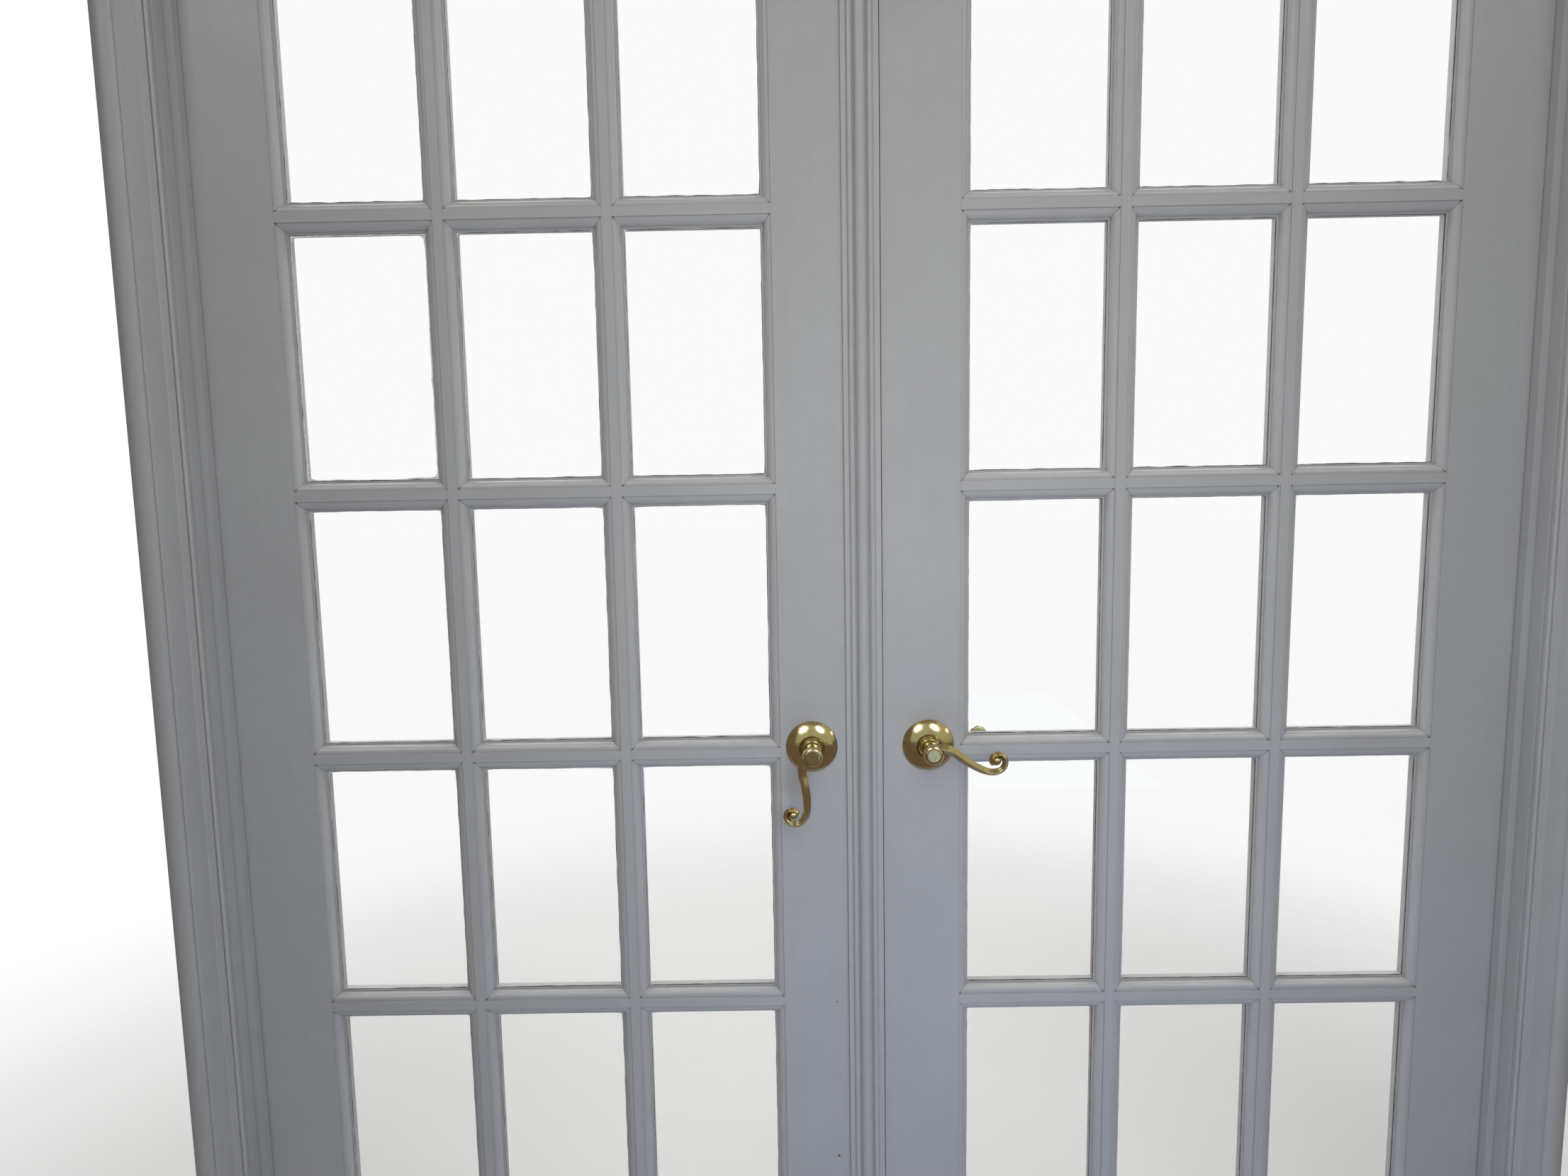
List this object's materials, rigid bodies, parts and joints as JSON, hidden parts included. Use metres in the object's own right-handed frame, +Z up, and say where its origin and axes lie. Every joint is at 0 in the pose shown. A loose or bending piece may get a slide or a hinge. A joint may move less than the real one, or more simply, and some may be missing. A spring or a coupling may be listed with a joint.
{
  "type": "french doors",
  "caption": "Pair of glazed french doors hung in a frame with moulded casings, with an astragal, scroll levers, a spring latch and flush bolts.",
  "frame": {"origin": "on the floor, midway between the jambs, in the middle of the leaves' thickness", "axes": "+X to the right for someone in front, +Y the way the leaves swing, away from someone in front, +Z up"},
  "size_m": [1.8068, 0.139, 2.115],
  "materials": {
    "painted_wood": "semi-gloss off-white paint",
    "glass": "clear float glass",
    "brass": "polished",
    "steel": "zinc plated"
  },
  "bodies": {
    "frame": {"head_jamb": "painted_wood", "left_jamb": "painted_wood", "right_jamb": "painted_wood", "head_stop": "painted_wood", "left_stop": "painted_wood", "right_stop": "painted_wood", "front_left_casing": "painted_wood", "front_right_casing": "painted_wood", "front_head_casing": "painted_wood", "back_left_casing": "painted_wood", "back_right_casing": "painted_wood", "back_head_casing": "painted_wood", "left_jamb_hinge_halves": "brass", "right_jamb_hinge_halves": "brass", "left_hinge_pins": "brass", "right_hinge_pins": "brass", "head_bolt_strike": "brass"},
    "left_door": {"left_meeting_stile": "painted_wood", "left_hinge_stile": "painted_wood", "left_bottom_rail": "painted_wood", "left_top_rail": "painted_wood", "left_upright_bars": "painted_wood", "left_cross_bars": "painted_wood", "left_panes": "glass", "left_glazing_beads": "painted_wood", "left_leaf_hinge_halves": "brass", "left_front_rose": "brass", "left_back_rose": "brass", "astragal": "painted_wood", "latch_strike": "brass", "top_flush_bolt_plate": "brass", "bottom_flush_bolt_plate": "brass"},
    "right_door": {"right_meeting_stile": "painted_wood", "right_hinge_stile": "painted_wood", "right_bottom_rail": "painted_wood", "right_top_rail": "painted_wood", "right_upright_bars": "painted_wood", "right_cross_bars": "painted_wood", "right_panes": "glass", "right_glazing_beads": "painted_wood", "right_leaf_hinge_halves": "brass", "right_front_rose": "brass", "right_back_rose": "brass", "latch_case": "steel"},
    "left_levers": {"left_front_lever": "brass", "left_back_lever": "brass", "left_spindle": "steel"},
    "right_levers": {"right_front_lever": "brass", "right_back_lever": "brass", "right_spindle": "steel", "latch_hub": "steel"},
    "latch_bolt": {"latch_bolt": "brass"},
    "top_flush_bolt": {"top_flush_bolt": "brass"},
    "bottom_flush_bolt": {"bottom_flush_bolt": "brass"}
  },
  "joints": [
    {"name": "left_door", "type": "hinge", "parent": "frame", "child": "left_door", "pos_m": [-0.8319, 0.027, 1], "axis": [0, 0, 1], "range_deg": [0, 160]},
    {"name": "right_door", "type": "hinge", "parent": "frame", "child": "right_door", "pos_m": [0.8319, 0.027, 1], "axis": [0, 0, -1], "range_deg": [0, 160]},
    {"name": "right_levers", "type": "hinge", "parent": "right_door", "child": "right_levers", "pos_m": [0.0757, 0, 0.924], "axis": [0, 1, 0], "range_deg": [0, 50], "stiffness_Nm_per_rad": 0.6, "springref_deg": -34.38},
    {"name": "latch_bolt", "type": "slide", "parent": "right_door", "child": "latch_bolt", "axis": [1, 0, 0], "range_m": [0, 0.0096]},
    {"name": "left_levers", "type": "hinge", "parent": "left_door", "child": "left_levers", "pos_m": [-0.0757, 0, 0.924], "axis": [0, 1, 0], "range_deg": [0, 65]},
    {"name": "top_flush_bolt", "type": "slide", "parent": "left_door", "child": "top_flush_bolt", "axis": [0, 0, 1], "range_m": [0, 0.016]},
    {"name": "bottom_flush_bolt", "type": "slide", "parent": "left_door", "child": "bottom_flush_bolt", "axis": [0, 0, -1], "range_m": [0, 0.016]}
  ],
  "couplings": [
    {"joint": "latch_bolt", "follows": "right_levers", "m_per_rad": 0.0109}
  ]
}
